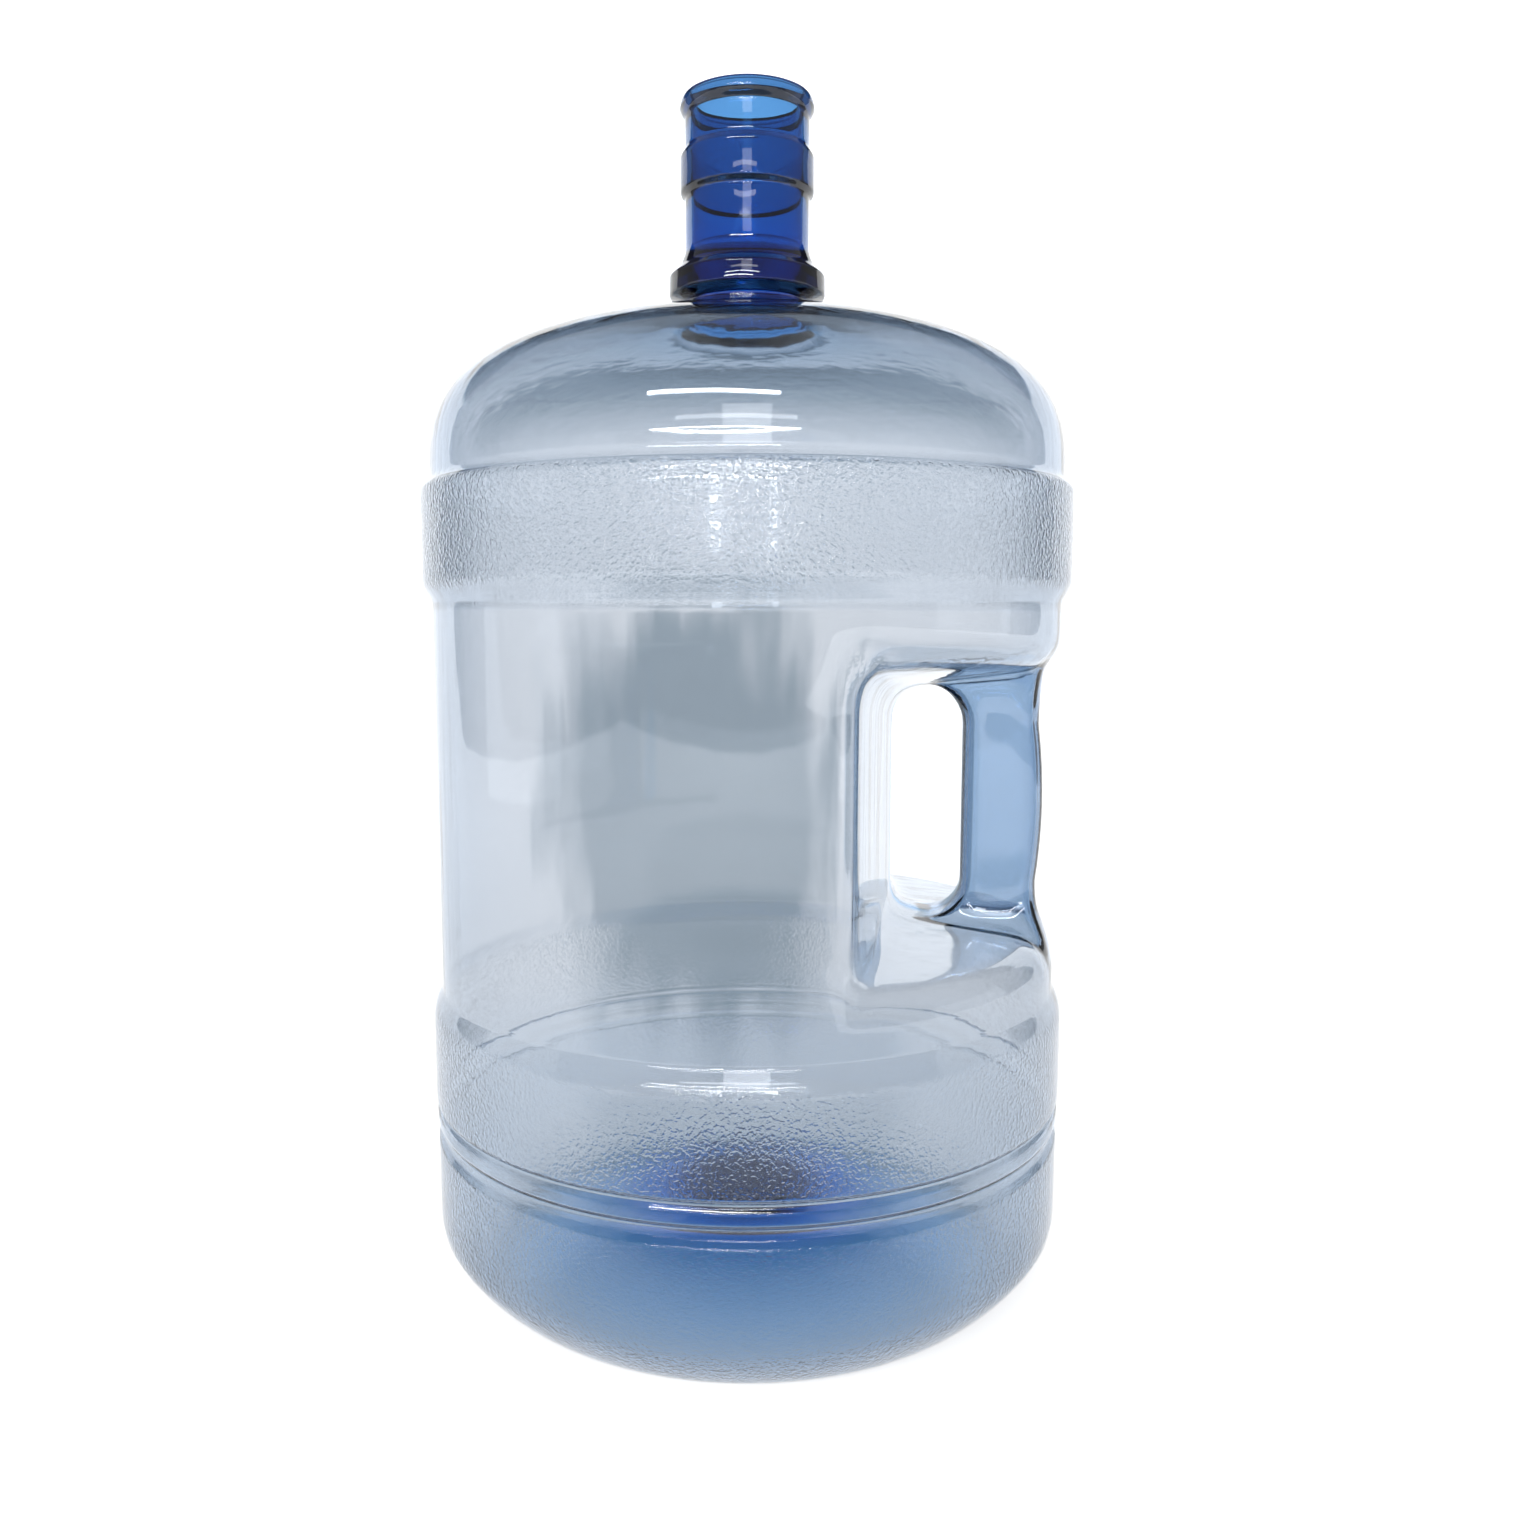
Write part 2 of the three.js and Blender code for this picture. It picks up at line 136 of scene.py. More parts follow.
def outline(rows):
    """Corners (radius, level) and easing lengths from a list of rows. A row is either one corner
    with its easing in millimetres, or a run of bend corners, each eased over half their spacing."""
    corners, ease = [], []
    for row in rows:
        if isinstance(row, np.ndarray):
            gap = np.linalg.norm(np.diff(row, axis=0), axis=1).min()
            corners.extend(row)
            ease.extend([gap / 2] * len(row))
        else:
            corners.append(np.array(row[:2]))
            ease.append(row[2] * MM)
    return np.array(corners), np.array(ease)[1:-1]


# The outline of the neck and dome down to the barrel, then of the lower bands and base from it. The
# groove stands over the upper band, and the dome springs from the barrel's radius above it.
groove = dome_low.z - 3.2 * MM
spring = groove + 6.4 * MM
band_edge = groove - 3.2 * MM
neck_and_dome, neck_and_dome_ease = outline([
    (BORE_R, TOP, 0),
    bend(
        (LIP_R - 2.3 * MM, TOP),
        (LIP_R - 1.0 * MM, TOP),
        (LIP_R, TOP - 2.5 * MM),
        (LIP_R, TOP - 5.2 * MM),
        7,
    ),
    (NECK_R, TOP - 8.1 * MM, 1.2),
    (NECK_R, TOP - 20.5 * MM, 1.0),
    (SNAP_R, TOP - 23.5 * MM, 0.8),
    (SNAP_R, TOP - 37.8 * MM, 0.8),
    (NECK_R, TOP - 39.7 * MM, 1.0),
    (NECK_R, TOP - 61.5 * MM, 2.6),
    (NECK_R + 2.7 * MM, TOP - 67.7 * MM, 1.6),
    (RING_R, TOP - 71.1 * MM, 0.8),
    (RING_R, TOP - 79.0 * MM, 1.0),
    (ROOT_R, TOP - 81.2 * MM, 1.4),
    (ROOT_R, CROWN + 2.6 * MM, 1.4),
    bend(
        (ROOT_R + 1.5 * MM, CROWN + 0.4 * MM),
        (ROOT_R + 76.5 * MM, CROWN - 10.8 * MM),
        (BARREL_R, spring + 39.7 * MM),
        (BARREL_R, spring),
        16,
    ),
    (BARREL_R, groove, 2.3),
    (BAND_R, band_edge, 2.3),
    (BAND_R, band_edge - 38.2 * MM, 2.6),
    (BARREL_R, band_edge - 44.8 * MM, 1.9),
    (BARREL_R, barrel_top.z, 0),
])
crease = low_band_low.z + 4.3 * MM
ridge_low = crease - 7.3 * MM
stand_out = FOOT_R - 21.1 * MM
stand_in = stand_out - 7 * MM
GATE_R = 25 * MM
PUSH_UP = 24 * MM
bands_and_base, bands_and_base_ease = outline([
    (BARREL_R, barrel_low.z, 0),
    (BARREL_R, barrel_low.z - 1.9 * MM, 1.7),
    (BAND_R, barrel_low.z - 10.8 * MM, 5.0),
    (BAND_R, crease + 1.9 * MM, 1.2),
    (BAND_R - 2.1 * MM, crease, 1.2),
    (BAND_R - 0.4 * MM, crease - 1.9 * MM, 1.2),
    (BAND_R - 0.4 * MM, ridge_low, 1.2),
    (FOOT_R - 1.9 * MM, ridge_low - 2.1 * MM, 1.4),
    (FOOT_R - 1.9 * MM, ridge_low - 5.3 * MM, 0.8),
    (FOOT_R, ridge_low - 8.3 * MM, 0.8),
    (FOOT_R, 27.5 * MM, 2.0),
    bend((FOOT_R, 25.8 * MM), (FOOT_R, 17.9 * MM), (stand_out + 3.5 * MM, 0), (stand_out, 0), 7),
    (stand_in, 0, 2.0),
    bend(
        (stand_in - 1 * MM, 0.1 * MM),
        (stand_in - 8 * MM, 0.5 * MM),
        ((stand_in + GATE_R) / 2, PUSH_UP),
        (GATE_R, PUSH_UP),
        8,
    ),
    (2 * MM, PUSH_UP, 0),
])

# The notch for the hand: its back, ceiling and floor round the jug. The back wall is a plane
# drafted each way from the middle, and the soft edge where it meets the barrel is a rounded minimum.
# The ceiling rises and the floor falls with the distance from the middle, at the rim and at the back.
FRONT_STEPS = 116
BACK_STEPS = 70
FRONT_REACH = math.radians(75)
front = np.linspace(-FRONT_REACH, FRONT_REACH, FRONT_STEPS + 1)
back = np.linspace(FRONT_REACH, 2 * math.pi - FRONT_REACH, BACK_STEPS + 1)[1:-1]
angle = np.concatenate([back[back > math.pi] - 2 * math.pi, front, back[back <= math.pi]])
columns = len(angle)
hand_back = grip_low.x - 29.2 * MM
hand_low = grip_low.z - 14 * MM
hand_high = grip_high.z + 14 * MM
EDGE_SOFTNESS = 10 * MM
BACK_DRAFT = 0.073
CEILING_FLARE = 9.5 * MM
FLOOR_FLARE = 6.5 * MM
CEILING_RISE = (0.04, 0.09)
FLOOR_FALL = (0.01, 0.06)
along = np.maximum(np.cos(angle) + BACK_DRAFT * np.abs(np.sin(angle)), 0.02)
wall_r = hand_back / along
difference = BARREL_R - wall_r
notch_r = (BARREL_R + wall_r - np.sqrt(difference ** 2 + EDGE_SOFTNESS ** 2)) / 2
edge_y = BARREL_R * np.abs(np.sin(angle))
wall_y = notch_r * np.abs(np.sin(angle))
level = np.ones(columns)
barrel_corners = np.stack([
    np.stack([BARREL_R * level, barrel_top.z * level], -1),
    np.stack([BARREL_R * level, hand_high + CEILING_FLARE + CEILING_RISE[0] * edge_y], -1),
    np.stack([notch_r, hand_high + CEILING_RISE[1] * wall_y], -1),
    np.stack([notch_r, hand_low - FLOOR_FALL[1] * wall_y], -1),
    np.stack([BARREL_R * level, hand_low - FLOOR_FLARE - FLOOR_FALL[0] * edge_y], -1),
    np.stack([BARREL_R * level, barrel_low.z * level], -1),
], axis=1)
barrel_ease = np.array([14, 14, 13, 13]) * MM

# Rows down the barrel are set out along the middle of the notch, so that the grip's two roots fall
# on whole rows, and keep the same share of the way down everywhere else.
barrel_length = np.linalg.norm(np.diff(barrel_corners, axis=1), axis=-1).sum(1)
middle = int(np.argmin(np.abs(angle)))
fine = np.linspace(0, barrel_length[middle], 2000)
fine_path = eased_path(barrel_corners[middle], barrel_ease, fine)
half = len(fine) // 2
HOLE_APEX = hand_back + 14.6 * MM
CEILING_ROOT = 126.5 * MM
FLOOR_ROOT = BARREL_R - 0.5 * MM
root_marks = np.array([
    0,
    fine[:half][np.argmin(np.abs(fine_path[:half, 0] - CEILING_ROOT))],
    fine[:half][np.argmin(np.abs(fine_path[:half, 0] - HOLE_APEX))],
    fine[half:][np.argmin(np.abs(fine_path[half:, 0] - HOLE_APEX))],
    fine[half:][np.argmin(np.abs(fine_path[half:, 0] - FLOOR_ROOT))],
    barrel_length[middle],
])
root_rows = np.array([0, 8, 21, 49, 62, 66])
barrel_marks = np.interp(np.arange(root_rows[-1] + 1), root_rows, root_marks)
barrel_share = barrel_marks / barrel_length[middle]


def turned_rows(corners, ease, longest):
    """A path sampled at its stations and repeated at every angle round the jug."""
    path = eased_path(corners, ease, stations(corners, ease, longest))
    return np.repeat(path[None], columns, axis=0)


upper_rows = turned_rows(neck_and_dome, neck_and_dome_ease, 8 * MM)
barrel_rows = eased_path(barrel_corners, barrel_ease, barrel_length[:, None] * barrel_share)
lower_rows = turned_rows(bands_and_base, bands_and_base_ease, 9 * MM)
section = np.concatenate([upper_rows[:, :-1], barrel_rows, lower_rows[:, 1:]], axis=1)
rows = section.shape[1]
upper_count = upper_rows.shape[1] - 1
body = np.stack([
    section[..., 0] * np.cos(angle)[:, None],
    section[..., 0] * np.sin(angle)[:, None],
    section[..., 1],
], axis=-1).transpose(1, 0, 2)


def grid_normals(grid):
    """Outward normals of a closed band of rows: the cross product of the slope down the rows and
    the slope round them."""
    down = np.gradient(grid, axis=0)
    around = np.roll(grid, -1, axis=1) - np.roll(grid, 1, axis=1)
    normal = np.cross(around, -down)
    return normal / np.linalg.norm(normal, axis=-1, keepdims=True)


body_normal = grid_normals(body)
HOLE_HALF = 10
left, right = middle - HOLE_HALF, middle + HOLE_HALF
holes = upper_count + root_rows[[1, 2]], upper_count + root_rows[[4, 3]]


def rim_of(outer_row, inner_row):
    """Row and column numbers round one grip root: across its outer side, along one flank, back
    across its inner side and along the other flank."""
    step = 1 if inner_row > outer_row else -1
    down = np.arange(outer_row, inner_row, step)
    across = np.arange(left, right)
    whole = np.ones(len(across), int)
    side = np.ones(len(down), int)
    rim_rows = np.concatenate([outer_row * whole, down, inner_row * whole, down[::-1] + step])
    rim_columns = np.concatenate([across, right * side, across[::-1] + 1, left * side])
    return rim_rows, rim_columns


# The grip: a hollow bar with a softly square section. Its two ends spread into the notch's ceiling
# and floor, and on the hand's side they close the finger hole with a half round.
flank = root_rows[2] - root_rows[1]
face = 2 * HOLE_HALF
across = np.linspace(-1, 1, face + 1)[:-1]
flank_way = np.linspace(1, -1, flank + 1)[:-1]
square = np.concatenate([
    np.stack([np.ones(face), across], -1),
    np.stack([flank_way, np.ones(flank)], -1),
    np.stack([-np.ones(face), -across], -1),
    np.stack([-flank_way, -np.ones(flank)], -1),
])
SQUARENESS = 3.8
round_square = square / (np.abs(square) ** SQUARENESS).sum(1, keepdims=True) ** (1 / SQUARENESS)
GRIP_BOW = 2.2 * MM
grip_middle_z = (grip_low.z + grip_high.z) / 2
grip_half_z = (grip_high.z - grip_low.z) / 2


def grip_section(z):
    """The grip's section at a level: a superellipse whose outer face bows in towards the ends as
    the square of the distance from the middle."""
    bow = GRIP_BOW * ((z - grip_middle_z) / grip_half_z) ** 2
    outer = grip_high.x - bow
    inner = grip_low.x
    x = (outer + inner) / 2 + (outer - inner) / 2 * round_square[:, 0]
    y = grip_high.y * round_square[:, 1]
    return np.stack([x, y, np.full(len(x), z)], -1)


def soft_step(value):
    """0 below 0, 1 above 1 and a smooth cubic between."""
    value = np.clip(value, 0, 1)
    return value * value * (3 - 2 * value)


def root_loft(rim, end_z, outer_pull, count):
    """Rows from a root's rim to the grip's section: a cubic curve for each point, which leaves the
    notch along its surface and arrives along the grip."""
    start = body[rim]
    normal = body_normal[rim]
    end = grip_section(end_z)
    chord = end - start
    along_surface = chord - normal * (chord * normal).sum(1, keepdims=True)
    inner_share = soft_step((-round_square[:, 0] - 0.35) / 0.55)[:, None]
    outer_share = soft_step((round_square[:, 0] - 0.35) / 0.55)[:, None]
    side_share = 1 - inner_share - outer_share
    pull_start = 0.55 * inner_share + 0.8 * side_share + outer_pull * outer_share
    pull_end = 0.55 * inner_share + 0.8 * side_share + 0.5 * outer_share
    lift = np.zeros_like(chord)
    lift[:, 2] = -chord[:, 2]
    first = start + pull_start * along_surface
    second = end + pull_end * lift
    t = np.linspace(0, 1, count + 1)[:, None, None]
    leaving = (1 - t) ** 3 * start + 3 * t * (1 - t) ** 2 * first
    arriving = 3 * t ** 2 * (1 - t) * second + t ** 3 * end
    return leaving + arriving


top_rim, low_rim = rim_of(*holes[0]), rim_of(*holes[1])
top_loft = root_loft(top_rim, grip_high.z, 0.12, 10)
low_loft = root_loft(low_rim, grip_low.z, 0.5, 10)
bar_levels = np.linspace(grip_high.z, grip_low.z, 9)[1:-1]
bar = np.stack([grip_section(z) for z in bar_levels])
grip = np.concatenate([top_loft[1:], bar, low_loft[::-1][:-1]])

# Outer skin: the body's grid without the quads inside the two roots, the grip's grid, and the pole.
grid_number = np.arange(rows * columns).reshape(rows, columns)
row_of, column_of = np.meshgrid(np.arange(rows - 1), np.arange(columns), indexing="ij")


def inside_root(hole):
    """Which of the body's quads lie inside a root's rim."""
    low, high = min(hole), max(hole)
    return (row_of >= low) & (row_of < high) & (column_of >= left) & (column_of < right)


kept = ~(inside_root(holes[0]) | inside_root(holes[1]))
ahead = np.roll(grid_number, -1, axis=1)
quads = np.stack([grid_number[:-1], grid_number[1:], ahead[1:], ahead[:-1]], -1)[kept]
grip_count = grip.shape[1]
grip_number = rows * columns + np.arange(grip.shape[0] * grip_count).reshape(-1, grip_count)
grip_number = np.concatenate([
    grid_number[top_rim][None], grip_number, grid_number[low_rim][None],
])
grip_ahead = np.roll(grip_number, -1, axis=1)
grip_quads = np.stack([
    grip_number[:-1], grip_number[1:], grip_ahead[1:], grip_ahead[:-1],
], -1).reshape(-1, 4)
pole = rows * columns + grip.shape[0] * grip_count
pole_ring = grid_number[-1]
pole_fan = np.stack([pole_ring, np.full(columns, pole), np.roll(pole_ring, -1)], -1)
outer = np.concatenate([body.reshape(-1, 3), grip.reshape(-1, 3), [[0, 0, PUSH_UP]]])
quads = np.concatenate([quads, grip_quads])


def vertex_normals(points, quad_list, triangle_list):
    """Each point's normal: the sum of its faces' cross products, made one long."""
    total = np.zeros_like(points)
    for faces in (quad_list, triangle_list):
        corner = points[faces]
        normal = np.cross(corner[:, 2] - corner[:, 0], corner[:, -1] - corner[:, 1])
        if faces.shape[1] == 3:
            normal = np.cross(corner[:, 1] - corner[:, 0], corner[:, 2] - corner[:, 0])
        for k in range(faces.shape[1]):
            np.add.at(total, faces[:, k], normal)
    return total / np.linalg.norm(total, axis=1, keepdims=True)


def relaxed(points, quad_list, share, rounds):
    """Points moved part of the way to the middle of their neighbours, again and again."""
    ends = np.stack([quad_list, np.roll(quad_list, -1, axis=1)], -1).reshape(-1, 2)
    links = np.unique(np.sort(ends, axis=1), axis=0)
    count = np.bincount(links.ravel(), minlength=len(points))[:, None]
    for _ in range(rounds):
        total = np.zeros_like(points)
        np.add.at(total, links[:, 0], points[links[:, 1]])
        np.add.at(total, links[:, 1], points[links[:, 0]])
        points = points + share[:, None] * (total / np.maximum(count, 1) - points)
    return points


# The roots are faired: near each rim the skin is relaxed, most at the rim itself.
share = np.zeros(len(outer))
for hole in holes:
    row_gap = np.maximum(min(hole) - np.arange(rows), np.arange(rows) - max(hole)).clip(0)
    column_gap = np.maximum(left - np.arange(columns), np.arange(columns) - right).clip(0)
    gap = np.maximum(row_gap[:, None], column_gap[None])
    near_rim = 0.5 * soft_step(1 - gap / 4)
    share[:rows * columns] = np.maximum(share[:rows * columns], near_rim.ravel())
steps_from_rim = np.minimum(np.arange(len(grip)) + 1, len(grip) - np.arange(len(grip)))
share[rows * columns:-1] = np.repeat(0.5 * soft_step(1 - steps_from_rim / 5), grip_count)
outer = relaxed(outer, quads, share, 8)

# Wall: how thick the moulding is from place to place, and from it the inner skin. The neck's bore
# is straight, so its band and ring are solid plastic; elsewhere the inner skin follows the outer.
body_r = np.hypot(body[..., 0], body[..., 1])
body_z = body[..., 2]
row_number = np.repeat(np.arange(rows)[:, None], columns, axis=1)
on_top = row_number < upper_count
on_base = row_number > upper_count + root_rows[-1]
in_neck = (body_z > CROWN + 2 * MM) & on_top
crown_wall = 1.7 * MM * np.exp(-(body_r - ROOT_R) / (45 * MM)) * on_top
heel_wall = 0.2 * MM * soft_step((40 * MM - body_z) / (20 * MM)) * on_base
gate_wall = 2.9 * MM * soft_step((38 * MM - body_r) / (16 * MM)) * on_base
body_wall = 1.2 * MM + crown_wall + heel_wall + gate_wall
grip_wall = np.full(grip.shape[0] * grip_count, 2.0 * MM)
GATE_NIB = 4.5 * MM
wall = np.concatenate([body_wall.ravel(), grip_wall, [GATE_NIB]])
neck_points = np.concatenate([in_neck.ravel(), np.zeros(len(grip_wall) + 1, bool)])

# Pebbling: how rough the mould was cut on the textured bands and the heel, fading to 0 at their
# edges. It is full on the upper band and finer below.
upper_pebbles = soft_step((body_z - band_edge + 41 * MM) / (3 * MM)) * (body_z < band_edge) * on_top
low_pebbles = soft_step((barrel_low.z - 8 * MM - body_z) / (3 * MM)) * (body_z > crease + 1 * MM) * on_base
foot_pebbles = (body_z < ridge_low - 8 * MM) * (body_r > stand_in) * on_base
body_pebbles = np.clip(upper_pebbles + 0.6 * low_pebbles + 0.7 * foot_pebbles, 0, 1)
pebbles = np.concatenate([body_pebbles.ravel(), 0 * grip_wall, [0]])

# Tint: how much deeper the blue is than in a thin wall. It gathers where the plastic is thickest:
# the neck and its ring, the foot of the grip, the welds beside the hand hole, and the gate in the
# middle of the base. It also deepens over the whole floor of the base, most in its middle, and a
# little towards the bottom of the lower body.
neck_tint = 0.46 * in_neck + 0.07 * np.exp(-(body_r - ROOT_R) / (35 * MM)) * (on_top & ~in_neck)
low_neck_tint = 0.12 * soft_step((TOP - 30 * MM - body_z) / (30 * MM)) * in_neck
ring_tint = 0.14 * in_neck * (body_r > NECK_R + 2 * MM) * (body_z < TOP - 64 * MM)
# Deeper over the whole floor of the base, most in its middle.
wide_floor = 0.62 * soft_step((122 * MM - body_r) / (88 * MM))
middle_floor = 0.28 * soft_step((64 * MM - body_r) / (40 * MM))
floor_tint = (wide_floor + middle_floor) * (body_z < 32 * MM) * on_base
heel_tint = 0.03 * soft_step((105 * MM - body_z) / (60 * MM)) * on_base
gate_tint = 0.1 * soft_step((27 * MM - body_r) / (7 * MM)) * on_base
weld = np.exp(-(body[..., 1] / (3.5 * MM)) ** 2) * (body[..., 0] > hand_back - 3 * MM)
weld_tint = 0.3 * weld * (body_z > hand_low - 4 * MM) * (body_z < hand_high + 4 * MM)
weld_tint = weld_tint * (body_r < BARREL_R - 25 * MM)
all_neck_tint = neck_tint + low_neck_tint + ring_tint
all_base_tint = floor_tint + heel_tint + gate_tint
body_tint = np.clip(weld_tint + all_neck_tint + all_base_tint, 0, 1)
grip_flat = grip.reshape(-1, 3)
grip_weld = np.exp(-(grip_flat[:, 1] / (3.5 * MM)) ** 2) * (grip_flat[:, 0] < grip_low.x + 5 * MM)
tint = np.concatenate([body_tint.ravel(), 0.06 + 0.18 * grip_weld, [1]])

# Points inside the two roots belong to no face and are dropped.
used = np.unique(np.concatenate([quads.ravel(), pole_fan.ravel()]))
renumber = np.zeros(len(outer), int)
renumber[used] = np.arange(len(used))
quads, pole_fan = renumber[quads], renumber[pole_fan]
outer, wall, neck_points = outer[used], wall[used], neck_points[used]
pebbles, tint = pebbles[used], tint[used]
normals = vertex_normals(outer, quads, pole_fan)
inner = outer - normals * wall[:, None]
outer_r = np.hypot(outer[:, 0], outer[:, 1])
inner[neck_points, :2] = (outer[:, :2] * (BORE_R / np.maximum(outer_r, 1 * MM))[:, None])[neck_points]
inner[neck_points, 2] = outer[neck_points, 2]

# The two skins share the mouth's inner edge.
inner_number = np.arange(len(outer)) + len(outer) - columns
inner_number[:columns] = np.arange(columns)
points = np.concatenate([outer, inner[columns:]])
all_quads = np.concatenate([quads, inner_number[quads[:, ::-1]]])
all_fans = np.concatenate([pole_fan, inner_number[pole_fan[:, ::-1]]])
faces = all_quads.tolist() + all_fans.tolist()
shell_mesh = bpy.data.meshes.new("jug_shell")
shell_mesh.from_pydata(points.tolist(), [], faces)
shell_mesh.polygons.foreach_set("use_smooth", np.ones(len(faces), bool))
inside_pebbles = 0 * pebbles[columns:]
for name, values in (("pebbles", [pebbles, inside_pebbles]), ("tint", [tint, tint[columns:]])):
    attribute = shell_mesh.attributes.new(name, "FLOAT", "POINT")
    attribute.data.foreach_set("value", np.concatenate(values).astype(np.float32))
shell = bpy.data.objects.new("jug_shell", shell_mesh)
bpy.context.scene.collection.objects.link(shell)


# Polycarbonate: clear, glossy and lightly tinted blue. The wall's own absorption gives the body its
# pale blue; the tint deepens the thick places and the floor of the base, and a little more where the
# wall is seen edge on. The bands are finely pebbled, and the whole wall has the faint upright waves
# of a blown skin.
polycarbonate = bpy.data.materials.new("clear_blue_polycarbonate")
polycarbonate.use_nodes = True
nodes, links = polycarbonate.node_tree.nodes, polycarbonate.node_tree.links
nodes.clear()
output = nodes.new("ShaderNodeOutputMaterial")
plastic = nodes.new("ShaderNodeBsdfPrincipled")
plastic.inputs["Roughness"].default_value = 0.03
plastic.inputs["IOR"].default_value = 1.58
plastic.inputs["Transmission Weight"].default_value = 1.0
links.new(plastic.outputs["BSDF"], output.inputs["Surface"])

tint_amount = nodes.new("ShaderNodeAttribute")
tint_amount.attribute_name = "tint"
tint_colour = nodes.new("ShaderNodeValToRGB")
DEEPEST_TINT = np.array([4.3, 1.65, 0.14])
TINTED_WALL = np.array([0.932, 0.93, 0.96])
THIN_WALL_COLOUR = (0.932, 0.922, 0.909, 1)
NECK_COLOUR = (0.108, 0.39, 0.78, 1)
GATE_COLOUR = (0.004, 0.012, 0.16, 1)
for stop in (0.1, 0.25, 0.5, 0.85):
    tint_colour.color_ramp.elements.new(stop)
for element in tint_colour.color_ramp.elements:
    element.color = [*(TINTED_WALL * np.exp(-DEEPEST_TINT * element.position)), 1]
tint_colour.color_ramp.elements[0].color = THIN_WALL_COLOUR
tint_colour.color_ramp.elements[3].color = NECK_COLOUR
tint_colour.color_ramp.elements[-1].color = GATE_COLOUR
edge_on = nodes.new("ShaderNodeLayerWeight")
edge_on.inputs["Blend"].default_value = 0.5
edge_curve = nodes.new("ShaderNodeMath")
edge_curve.operation = "POWER"
edge_curve.inputs[1].default_value = 4.0
links.new(edge_on.outputs["Facing"], edge_curve.inputs[0])
tint_and_edge = nodes.new("ShaderNodeMath")
tint_and_edge.operation = "MULTIPLY_ADD"
tint_and_edge.inputs[1].default_value = 0.13
links.new(edge_curve.outputs["Value"], tint_and_edge.inputs[0])
links.new(tint_amount.outputs["Fac"], tint_and_edge.inputs[2])
links.new(tint_and_edge.outputs["Value"], tint_colour.inputs["Fac"])
links.new(tint_colour.outputs["Color"], plastic.inputs["Base Color"])

place = nodes.new("ShaderNodeTexCoord")
pebble = nodes.new("ShaderNodeTexNoise")
pebble.inputs["Scale"].default_value = 680
pebble.inputs["Detail"].default_value = 1.5
pebble.inputs["Roughness"].default_value = 0.5
links.new(place.outputs["Object"], pebble.inputs["Vector"])
pebble_shape = nodes.new("ShaderNodeMapRange")
pebble_shape.interpolation_type = "SMOOTHSTEP"
pebble_shape.inputs["From Min"].default_value = 0.42
pebble_shape.inputs["From Max"].default_value = 0.70
links.new(pebble.outputs["Fac"], pebble_shape.inputs["Value"])
pebble_amount = nodes.new("ShaderNodeAttribute")
pebble_amount.attribute_name = "pebbles"
pebble_height = nodes.new("ShaderNodeMath")
pebble_height.operation = "MULTIPLY"
links.new(pebble_shape.outputs["Result"], pebble_height.inputs[0])
links.new(pebble_amount.outputs["Fac"], pebble_height.inputs[1])

streak_stretch = nodes.new("ShaderNodeMapping")
streak_stretch.inputs["Scale"].default_value = (1.0, 1.0, 0.12)
links.new(place.outputs["Object"], streak_stretch.inputs["Vector"])
streak = nodes.new("ShaderNodeTexNoise")
streak.inputs["Scale"].default_value = 34
streak.inputs["Detail"].default_value = 2.6
links.new(streak_stretch.outputs["Vector"], streak.inputs["Vector"])

pebble_bump = nodes.new("ShaderNodeBump")
pebble_bump.inputs["Strength"].default_value = 1.0
pebble_bump.inputs["Distance"].default_value = 0.135 * MM
links.new(pebble_height.outputs["Value"], pebble_bump.inputs["Height"])
streak_bump = nodes.new("ShaderNodeBump")
streak_bump.inputs["Strength"].default_value = 1.0
streak_bump.inputs["Distance"].default_value = 0.35 * MM
links.new(streak.outputs["Fac"], streak_bump.inputs["Height"])
links.new(pebble_bump.outputs["Normal"], streak_bump.inputs["Normal"])
links.new(streak_bump.outputs["Normal"], plastic.inputs["Normal"])

depth = nodes.new("ShaderNodeVolumeAbsorption")
depth.inputs["Color"].default_value = (0.12, 0.27, 0.46, 1)
depth.inputs["Density"].default_value = 260
links.new(depth.outputs["Volume"], output.inputs["Volume"])

shell_mesh.materials.append(polycarbonate)
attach(shell, "root")
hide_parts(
    "mouth_lip", "neck", "support_ring", "shoulder_dome", "upper_band",
    "barrel", "grip", "lower_band", "foot_band", "base",
)


# ---- Studio -------------------------------------------------------------------------------------
# A sheet of white paper that runs from the table up into a wall, glowing as painted light and with
# painted shade on it, long thin lamps behind the camera for the highlights, windows and a soft box
# for the upper band and the neck, and pale side walls.
SWEEP_HALF = 2.2
floor_front, floor_back, sweep_radius, wall_top = -2.4, 1.5, 0.5, 2.2
bend_angle = np.linspace(0, math.pi / 2, 24)
sweep_y = np.concatenate([
    [floor_front], floor_back - sweep_radius + sweep_radius * np.sin(bend_angle), [floor_back],
])
sweep_z = np.concatenate([[0], sweep_radius - sweep_radius * np.cos(bend_angle), [wall_top]])
turn = np.array([
    [math.cos(CAMERA_TURN), -math.sin(CAMERA_TURN)], [math.sin(CAMERA_TURN), math.cos(CAMERA_TURN)],
])
left_edge = np.stack([np.full(len(sweep_y), -SWEEP_HALF), sweep_y], -1) @ turn.T
right_edge = np.stack([np.full(len(sweep_y), SWEEP_HALF), sweep_y], -1) @ turn.T
sweep_points = np.concatenate([
    np.column_stack([left_edge, sweep_z]), np.column_stack([right_edge, sweep_z]),
])
strip_number = np.arange(len(sweep_y) - 1)
strip_faces = np.stack([
    strip_number, strip_number + len(sweep_y), strip_number + len(sweep_y) + 1, strip_number + 1,
], -1)
sweep_mesh = bpy.data.meshes.new("white_sweep")
sweep_mesh.from_pydata(sweep_points.tolist(), [], strip_faces.tolist())
sweep_mesh.polygons.foreach_set("use_smooth", np.ones(len(strip_faces), bool))
